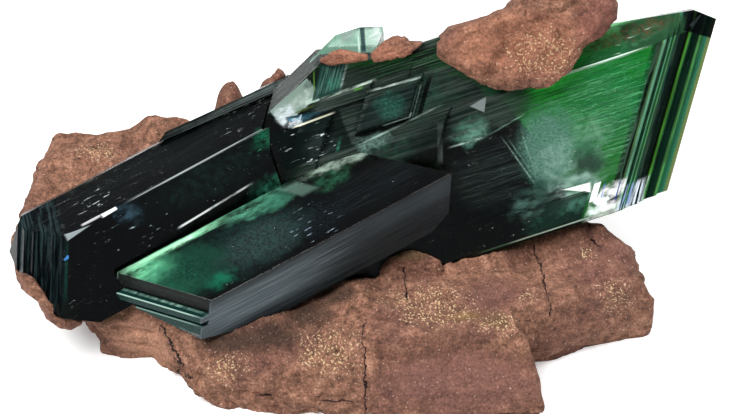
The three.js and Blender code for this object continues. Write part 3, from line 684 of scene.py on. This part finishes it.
PRISM_PATCHES = [
    ("oval", "cloud", (20, -2, 0), (12, 3.6, 2), 0, "#1c302a", 0.6, 0.8),
    ("oval", "fine", (16, 3, -4), (18, 4, 6), 0, "#2b3434", 0.25, 0.5),
    ("facet", "plain", (-5, 0, -4), (5.7, 14, 9), 0, "#05080a", 0.93, 0.12),
    ("facet", "bars", (-3.2, 0, -4), (4, 12, 9), 0, "#2b3c3e", 0.6, 0.4),
    ("facet", "plain", (0.8, -4, 0), (0.35, 4.4, 2), 0, "#14352f", 0.7, 0.8),
    # A painted blue glint near the end, a bluish cloud, and painted glints: white and grey dashes
    ("oval", "plain", (-0.9, -2.4, 0), (0.5, 0.35, 1), 20, "#4f8fd6", 0.9, 0.8),
    ("oval", "flow", (8.9, -1.4, 0), (2.3, 2, 2), -30, "#3a5360", 0.85, 0.7),
    ("oval", "dash", (5.4, 1.6, -4), (3.4, 1.6, 3.4), 0, "#d5dddd", 1, 0.3),
    ("oval", "dash", (26, 1.6, -4), (4, 1, 2.6), 0, "#8a9a95", 0.9, 0.4),
    ("oval", "dash", (8.4, -4.4, 0), (4.2, 1.5, 2), 0, "#a9bcc0", 0.95, 0.4),
    ("oval", "dash", (4, -1.8, 0), (3, 1.2, 2), 0, "#6f8a8e", 0.8, 0.5),
    # Painted highlights: a bright line on the ridge, a lit bevel at its end, pale lines on the lower edge
    ("edge", "streak", (19.6, 0.1, -0.25), (11, 0.11, 0.24), 0, "#aab3b1", 0.95, 0.25),
    ("edge", "plain", (6.7, 0.05, -0.1), (1.15, 0.24, 0.4), 3, "#ffffff", 1, 0.25),
    ("edge", "streak", (4.3, 0.12, -0.2), (1.6, 0.16, 0.4), 0, "#f4f7f7", 1, 0.4),
    ("wedge", "plain", (2.3, -0.28, 0), (0.48, 2, 1), -90, "#929c9e", 0.95, 0.2),
    ("edge", "flow", (19, -5.6, 0), (5.9, 0.15, 1), 3, "#c8d0cc", 1, 0.3),
    ("edge", "plain", (16, -5.78, 0), (2.7, 0.16, 1), 3, "#dde3e0", 0.95, 0.4),
    # A painted green glint, then green clouds and specks at the far end
    ("oval", "dash", (26.2, -1.8, 0), (1.8, 1.2, 1), 20, "#35b387", 1, 0.4),
    ("oval", "cloud", (28.4, -0.9, 0), (2.4, 1.8, 2), 0, "#1b6549", 0.8, 0.7),
    ("oval", "speck", (31.5, -5, 0), (4, 3.4, 2), 0, "#6f9385", 0.5, 0.6),
    ("oval", "cloud", (27.5, -6.6, 0), (5, 1.8, 2), 0, "#2f6f58", 0.7, 0.7),
]
FRONT_PATCHES = [
    # Top face: a painted green glow at the left tip, dark and speckled in the middle, black at the right
    ("oval", "cloud", (6, 5.5, 0), (13, 6.5, 2), 0, "#16302c", 0.8, 0.7),
    ("oval", "plain", (-1.5, 5.5, 0), (7.5, 5, 2), 10, "#235c46", 0.8, 0.9),
    ("oval", "plain", (-4.4, 8.4, 0), (4.6, 2.6, 2), 14, "#448f6c", 0.8, 0.9),
    ("oval", "flow", (-5.6, 8.9, 0), (3.6, 1.8, 2), 20, "#7fd8a4", 0.8, 0.8),
    ("oval", "plain", (2.2, 2.4, 0), (2.6, 1.9, 2), 0, "#1c8060", 0.5, 0.9),
    ("oval", "mist", (0.2, 6, 0), (4.4, 3.4, 2), 0, "#0a1413", 1, 0.7),
    ("oval", "cloud", (0, 4.5, 0), (6, 3.6, 2), 0, "#0a1413", 0.6, 0.6),
    ("oval", "mist", (-2, 6.2, 0), (6, 4, 2), 0, "#0f2a22", 0.5, 0.7),
    ("oval", "mist", (9, 4.6, 0), (8, 4.6, 2), 0, "#4d6462", 0.4, 0.7),
    ("oval", "flow", (11, 10.2, 0), (7, 2.2, 2), -4, "#4f8f74", 0.95, 0.7),
    ("oval", "plain", (13, 9.4, 0), (4, 1.6, 2), 0, "#2e6350", 0.6, 0.9),
    ("facet", "plain", (23.4, 9.3, 0), (1.5, 1.7, 2), 0, "#4f665c", 0.7, 0.5),
    ("oval", "cloud", (20.6, 8.2, 0), (3.6, 2, 2), 0, "#2a5a42", 0.75, 0.7),
    ("oval", "flow", (22.6, 10, 0), (6.2, 1.3, 2), -6, "#93a698", 0.95, 0.7),
    # Painted bluish glints as dashes, over dark specks
    ("oval", "dash", (15.5, 3.5, 0), (4, 4, 2), 0, "#93a6b4", 0.9, 0.4),
    ("oval", "speck", (16.5, 3.5, 0), (4.6, 3.4, 2), 0, "#1f2a30", 0.7, 0.6),
    ("oval", "fine", (25, 4, 0), (9, 4, 2), 0, "#20282a", 0.5, 0.6),
    # A pale band along the upper edge: a painted highlight, brightest at a painted glint
    ("edge", "flow", (-0.6, 10.6, 0), (9.5, 0.75, 1.2), 0, "#7cc498", 1, 0.7),
    ("edge", "plain", (-1.4, 10.75, 0), (7.6, 0.42, 1.2), 0, "#9ad8b0", 0.9, 0.7),
    ("edge", "flow", (0.6, 10.6, 0), (1.8, 0.4, 1.2), 0, "#c8f5d8", 0.8, 0.5),
    # Wall: a painted slate sheen, smooth and brushed along, and streaked dark towards its lower edge
    ("edge", "plain", (14, 0, -4.4), (20, 0.35, 4.32), 0, "#2b3235", 0.95, 0.04),
    ("edge", "plain", (5, 0, -4.2), (13, 0.5, 4.1), 0, "#626e74", 0.85, 0.8),
    ("edge", "plain", (27, 0, -2.1), (9, 0.5, 2), 0, "#3e474b", 0.7, 0.7),
    ("edge", "streak", (8, 0, -3.6), (14, 0.5, 3.5), 0, "#8d999f", 0.5, 0.5),
    ("edge", "fine", (12, 0, -4.4), (20, 0.5, 4.3), 0, "#262e32", 0.6, 0.3),
    ("edge", "streak", (7, 0, -7.4), (16, 0.5, 2.2), 0, "#0d1214", 0.95, 0.6),
    ("edge", "streak", (24, 0, -6.4), (12, 0.5, 3), 0, "#14191b", 0.8, 0.6),
    # Left end: a black band, a pale ledge, and a teal step with a second ledge; the ledges' pale lines are
    # painted highlights
    ("facet", "plain", (-2.2, 5.6, -1.2), (2.19, 5.5, 1.1), 0, "#040707", 0.97, 0.03),
    ("facet", "plain", (-4, 5.6, -3.6), (4, 5.6, 1.5), 0, "#10302c", 0.92, 0.05),
    ("facet", "streak", (-2.2, 5.6, -0.8), (2.2, 5.6, 0.12), 0, "#2f5a44", 0.8, 0.4),
    ("facet", "plain", (-1.96, 5.6, -2.32), (0.14, 6, 0.12), 0, "#a9c7ba", 0.95, 0.4),
    ("facet", "streak", (-1.05, 5.6, -2.3), (0.25, 6, 0.12), 0, "#8fb5a4", 0.9, 0.4),
    ("facet", "plain", (-2.3, 5.6, -3.92), (0.16, 6, 0.16), 0, "#8aa79c", 0.85, 0.4),
    ("facet", "streak", (-3.4, 5.6, -5.2), (3, 5.6, 0.5), 0, "#5a7268", 0.6, 0.4),
]
BACK_PATCHES = [
    ("edge", "plain", (15, 0, 0), (22, 8, 6), 0, "#0a0f0f", 0.85, 0.1),
    ("oval", "fine", (12, -1.2, 0), (16, 3, 3), 0, "#56615f", 0.6, 0.6),
    ("oval", "streak", (14, -0.6, 0), (12, 1.4, 3), 0, "#6f7b78", 0.5, 0.6),
]
CLEAR_PATCHES = [
    ("edge", "plain", (-19, 20, -2), (9, 5, 3), 0, "#9dbfae", 0.4, 0.1),
    ("oval", "cloud", (-20, 20, -2), (4.2, 2.6, 3), 20, "#5f9a80", 0.75, 0.6),
    ("oval", "flow", (-18.6, 20.9, -2), (1.6, 1, 3), 30, "#8b9a98", 0.9, 0.5),
    ("edge", "plain", (-16.95, 20.1, -2), (0.34, 1.9, 3), -14, "#16323a", 0.88, 0.35),
    # Painted highlights: a thin pale line beside the dark band, and a near-white patch
    ("edge", "plain", (-17.6, 19.8, -2), (0.16, 1.5, 3), -14, "#cfece0", 0.8, 0.6),
    ("oval", "flow", (-15.4, 19.8, -2), (1.5, 1.6, 3), 0, "#e8f4f2", 0.85, 0.6),
    ("edge", "mist", (-16.4, 21.5, -2), (2.6, 0.22, 3), -12, "#23343a", 1, 0.4),
]

# What thick vivianite lets through, and what the thin clear one does
GREEN_DEPTH = "#50d076"
PALE_DEPTH = "#bcedda"
crystals = {
    "large_blade_crystal": vivianite(
        "vivianite_blade", BLADE, 33, GREEN_DEPTH, 1000, BLADE_PATCHES, BLADE_BANDS, BLADE_GLINTS,
    ),
    "left_prism_crystal": vivianite("vivianite_prism", PRISM, 29, GREEN_DEPTH, 1500, PRISM_PATCHES),
    "front_crystal": vivianite("vivianite_front", FRONT, -36.5, GREEN_DEPTH, 1500, FRONT_PATCHES),
    "back_blade_crystal": vivianite("vivianite_back", BACK, 33, GREEN_DEPTH, 1500, BACK_PATCHES),
    "clear_crystal": vivianite("vivianite_clear", BLADE, 33, PALE_DEPTH, 260, CLEAR_PATCHES),
}
for node, material in crystals.items():
    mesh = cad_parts[node].data
    mesh.materials.clear()
    mesh.materials.append(material)

# Iron clay: a fine-grained, rusty, baked mudstone, broken by hand. It is matt, mottled from purple to
# orange-brown, with gritty grains of about 0.3 mm whose glints are painted, golden where they gather,
# stains and dry cracks. Where the golden grains gather: place and half sizes
GOLD_ZONES = [
    ((8, -8.5, 9), (9, 5.5, 6)), ((16.5, -11.3, 8.5), (5, 2, 4)), ((-4.4, -14.4, 7), (6.5, 4.5, 6)),
    ((-16.7, -16.2, 5), (5, 2, 5)), ((31, -5.5, 7), (4, 2.2, 5)), ((20.3, -7.6, 9.3), (2, 1.4, 2)),
    ((28.2, 0, 9.6), (2.2, 1.4, 2)), ((-35, 14.5, 13.8), (5, 2.5, 4)), ((22, 12, 33), (8, 5, 5)),
]
# Stains, painted shadows and painted light: place, half sizes, colour, strength and softness
STAINS_AND_PAINTED_SHADING = [
    ((12, -17, 4), (13, 5, 6), "#7c554c", 0.75, 0.6),
    ((20, 12, 34), (14, 6, 6), "#b07358", 0.45, 0.6),
    ((29, 15, 36), (4, 5, 5), "#7a4a42", 0.6, 0.7),
    ((30, -2, 8), (10, 8, 8), "#6b4741", 0.5, 0.8),
    ((16, -7, 9), (7, 4.5, 5), "#6b4741", 0.5, 0.8),
    # Painted light on the rock's low front at the left, where the crystals above shade it
    ((-28, -10, 3.5), (7, 4, 5), "#c08f74", 0.6, 0.7),
    ((5.5, -1.5, 10.9), (3.8, 1.2, 1.1), "#5f5834", 0.6, 0.9),
    ((0, 13.4, 31.5), (8, 3, 3), "#b07358", 0.5, 0.6),
    ((12.4, -9.8, 9), (3, 1.2, 3), "#7d6a35", 0.5, 0.9),
    ((16, -11, 8.6), (3, 1.6, 3), "#6b5638", 0.5, 0.9),
    # Painted shadow under the front crystal's wall, with some dark stain
    ((-16.5, -13.9, 8), (6, 2.2, 3), "#3b2d24", 0.8, 0.7),
    ((-11, -12.8, 8.5), (5, 2.6, 3), "#3b2d24", 0.8, 0.7),
    ((-7.2, -9.8, 9), (4.4, 2.8, 3), "#3b2d24", 0.8, 0.7),
    ((-3.6, -7.2, 9.3), (4.4, 2.2, 3), "#3b2d24", 0.75, 0.7),
    # Painted shadows under two ledges of the front wall
    ((-3.6, -18.8, 2.6), (3.4, 1.4, 0.16), "#1d0f0c", 0.9, 0.6),
    ((-11.9, -18.2, 2.8), (2.4, 1.4, 0.14), "#1d0f0c", 0.8, 0.6),
]
# Cracks: where each straight run begins and ends, seen from above
CRACKS = [
    ((21.6, 1.7), (22.4, -0.2)), ((22.4, -0.2), (22.7, -6.3)), ((22.7, -6.3), (23.2, -9)),
    ((0.1, -11.5), (-0.6, -13.7)), ((-0.6, -13.7), (0, -14.9)), ((0, -14.9), (0, -20.6)),
    ((-25.6, -10.2), (-24.2, -12.2)), ((-24.2, -12.2), (-21.6, -15.3)), ((28.8, 2.3), (30.3, 1.2)),
    ((4.9, -2.5), (5.3, -7.7)),
]
CRACK_COLOUR = "#1d0f0c"
GRAIN_RELIEF = 0.36


def iron_clay():
    """Mottled clay: purple fields, stains with painted shadows and light, bedding, grain, painted glints and
    cracks are laid one over the other, in the part's own mm. A crack wanders about its straight run."""
    material, tree = new_material("iron_clay")
    object_place = add(tree, "TexCoord", {}).outputs["Object"]
    own = add(tree, "Mapping", {
        "Vector": object_place, "Location": SHIFT * MM, "Scale": (MM, MM, MM),
    }, vector_type="TEXTURE")
    broad = add(tree, "TexNoise", {"Vector": own, "Scale": 0.11, "Detail": 4})
    mottle = add(tree, "TexNoise", {"Vector": own, "Scale": 0.75, "Detail": 8, "Roughness": 0.68})
    grain = add(tree, "TexNoise", {"Vector": own, "Scale": 3.0, "Detail": 4, "Roughness": 0.7})
    grit = add(tree, "TexNoise", {"Vector": own, "Scale": 3.8, "Detail": 2, "Roughness": 0.5})
    bedding_place = add(tree, "Mapping", {
        "Vector": own, "Rotation": (0.35, 0.12, 0), "Scale": (0.1, 0.1, 1.7),
    })
    bedding = add(tree, "TexNoise", {"Vector": bedding_place, "Scale": 1, "Detail": 5})
    ramp = add(tree, "ValToRGB", {"Fac": mottle})
    stops = ramp.color_ramp.elements
    browns = ((0.28, "#462c23"), (0.42, "#72503f"), (0.55, "#8f6551"), (0.72, "#b2866e"))
    for n, (at, code) in enumerate(browns):
        stop = stops[n] if n < 2 else stops.new(at)
        stop.position, stop.color = at, colour(code)
    purple = add(tree, "MapRange", {"Value": broad, "From Min": 0.45, "From Max": 0.62, "To Max": 0.45})
    base = add(tree, "Mix", {"Factor": purple, 6: ramp, 7: colour("#6b4741")}, data_type="RGBA").outputs[2]
    # Stains, painted shadows and painted light over the ground colour
    for centre, radii, code, strength, soft in STAINS_AND_PAINTED_SHADING:
        mask = patch_mask(tree, own, "oval", centre, radii, 0, soft)
        cover = add(tree, "Math", {0: mask, 1: strength}, operation="MULTIPLY")
        base = add(tree, "Mix", {"Factor": cover, 6: base, 7: colour(code)}, data_type="RGBA").outputs[2]
    layered = add(tree, "MapRange", {
        "Value": bedding, "From Min": 0.3, "From Max": 0.7, "To Min": 0.84, "To Max": 1.14,
    })
    fine = add(tree, "MapRange", {
        "Value": grain, "From Min": 0.3, "From Max": 0.7, "To Min": 0.6, "To Max": 1.4,
    })
    shade = add(tree, "Math", {0: layered, 1: fine}, operation="MULTIPLY")
    base = add(tree, "VectorMath", {0: base, "Scale": shade}, operation="SCALE")
    gold = 0.0
    # Painted glints: pale specks on the gritty grains, more and golden where they gather, and less rough
    for centre, radii in GOLD_ZONES:
        zone = patch_mask(tree, own, "oval", centre, radii, 0, 0.7)
        gold = add(tree, "Math", {0: gold, 1: zone}, operation="MAXIMUM")
    limit = add(tree, "MapRange", {"Value": gold, "To Min": 0.68, "To Max": 0.57})
    above = add(tree, "Math", {0: grit, 1: limit}, operation="SUBTRACT")
    glint = add(tree, "MapRange", {"Value": above, "From Min": 0, "From Max": 0.05, "To Max": 0.85})
    glint_colour = add(tree, "Mix", {
        "Factor": gold, 6: colour("#d8b8a8"), 7: colour("#dfc294"),
    }, data_type="RGBA").outputs[2]
    base = add(tree, "Mix", {"Factor": glint, 6: base, 7: glint_colour}, data_type="RGBA").outputs[2]
    wander = add(tree, "TexNoise", {"Vector": own, "Scale": 0.8, "Detail": 4, "Roughness": 0.6})
    width = add(tree, "MapRange", {
        "Value": mottle, "From Min": 0.35, "From Max": 0.65, "To Min": 0.03, "To Max": 0.13,
    })
    crack = 0.0
    for (x1, y1), (x2, y2) in CRACKS:
        half = np.hypot(x2 - x1, y2 - y1) / 2
        run = add(tree, "Mapping", {
            "Vector": own, "Location": ((x1 + x2) / 2, (y1 + y2) / 2, 0),
            "Rotation": (0, 0, np.arctan2(y2 - y1, x2 - x1)),
        }, vector_type="TEXTURE")
        parts = add(tree, "SeparateXYZ", {0: run})
        bend = add(tree, "Math", {0: wander, 1: 1.6, 2: parts.outputs[1]}, operation="MULTIPLY_ADD")
        line = add(tree, "Math", {0: bend, 1: 0.8, 2: width}, operation="COMPARE")
        on_run = add(tree, "Math", {0: parts.outputs[0], 1: 0, 2: half}, operation="COMPARE")
        line = add(tree, "Math", {0: line, 1: on_run}, operation="MULTIPLY")
        crack = add(tree, "Math", {0: crack, 1: line}, operation="MAXIMUM")
    base = add(tree, "Mix", {"Factor": crack, 6: base, 7: colour(CRACK_COLOUR)}, data_type="RGBA").outputs[2]
    rough = add(tree, "MapRange", {"Value": glint, "To Min": 0.92, "To Max": 0.35})
    height = add(tree, "Math", {0: grain, 1: 0.35, 2: mottle}, operation="MULTIPLY_ADD")
    height = add(tree, "Math", {0: crack, 1: -1.5, 2: height}, operation="MULTIPLY_ADD")
    bump = add(tree, "Bump", {"Height": height, "Strength": 1, "Distance": GRAIN_RELIEF * MM})
    shader = add(tree, "BsdfPrincipled", {
        "Base Color": base, "Roughness": rough, "Specular IOR Level": 0.3, "Normal": bump,
    })
    add(tree, "OutputMaterial", {"Surface": shader})
    return material


clay = iron_clay()
for rock in rocks.values():
    rock.data.materials.append(clay)

# Paper floor: matt white card, lit a little from below, under the specimen
FLOOR_SIZE = 420
CARD_GLOW = 0.32
material, tree = new_material("white_card")
object_place = add(tree, "TexCoord", {}).outputs["Object"]
fibre = add(tree, "TexNoise", {"Vector": object_place, "Scale": 900, "Detail": 3})
pale = add(tree, "MapRange", {"Value": fibre, "To Min": 0.9, "To Max": 0.94})
paper = add(tree, "BsdfPrincipled", {
    "Base Color": pale, "Roughness": 0.9, "Specular IOR Level": 0.1, "Emission Color": (1, 1, 1, 1),
    "Emission Strength": CARD_GLOW,
})
add(tree, "OutputMaterial", {"Surface": paper})
corners = np.array([(-1, -1, 0), (1, -1, 0), (1, 1, 0), (-1, 1, 0)]) * FLOOR_SIZE / 2 * MM
mesh = bpy.data.meshes.new("floor")
mesh.from_pydata(corners.tolist(), [], [(0, 1, 2, 3)])
mesh.materials.append(material)
floor = bpy.data.objects.new("floor", mesh)
bpy.context.scene.collection.objects.link(floor)

# Studio: a pale room for the eye that is dim in reflections, so that the glass stays dark
scene = bpy.context.scene
world = bpy.data.worlds.new("studio")
world.use_nodes = True
scene.world = world
tree = world.node_tree
tree.nodes.clear()
seen = add(tree, "LightPath", {}).outputs["Is Camera Ray"]
room = add(tree, "Mix", {
    "Factor": seen, 6: colour("#616569"), 7: colour("#f6f6f6"),
}, data_type="RGBA").outputs[2]
add(tree, "OutputWorld", {"Surface": add(tree, "Background", {"Color": room, "Strength": 1})})


def soft_box(name, azimuth, elevation, distance, size, power):
    """A square of light that faces the specimen from a direction, with azimuth from +Y towards +X."""
    a, e = np.radians([azimuth, elevation])
    way = Vector((np.sin(a) * np.cos(e), np.cos(a) * np.cos(e), np.sin(e)))
    light = bpy.data.lights.new(name, "AREA")
    light.size, light.energy = size * MM, power
    lamp = bpy.data.objects.new(name, light)
    lamp.location = way * distance * MM
    lamp.rotation_euler = way.to_track_quat("Z", "Y").to_euler()
    scene.collection.objects.link(lamp)


soft_box("key", azimuth=-125, elevation=60, distance=520, size=260, power=3.1)
soft_box("fill", azimuth=60, elevation=55, distance=520, size=320, power=2.2)

# Camera at the photograph's eye, looking square at the specimen's display face
SENSOR_WIDTH = 36
NEAREST_SEEN = 10
camera = bpy.data.objects.new("camera", bpy.data.cameras.new("camera"))
camera.data.sensor_width = SENSOR_WIDTH
camera.data.lens = SENSOR_WIDTH * EYE_PIXELS / PICTURE_WIDTH
camera.data.clip_start = NEAREST_SEEN * MM
eye = DISPLAY @ Vector((0, 0, EYE_DISTANCE)) * MM
camera.matrix_world = Matrix.Translation(eye) @ turn(DISPLAY_TILT, "X")
scene.collection.objects.link(camera)
scene.camera = camera
scene.view_settings.view_transform = "Standard"
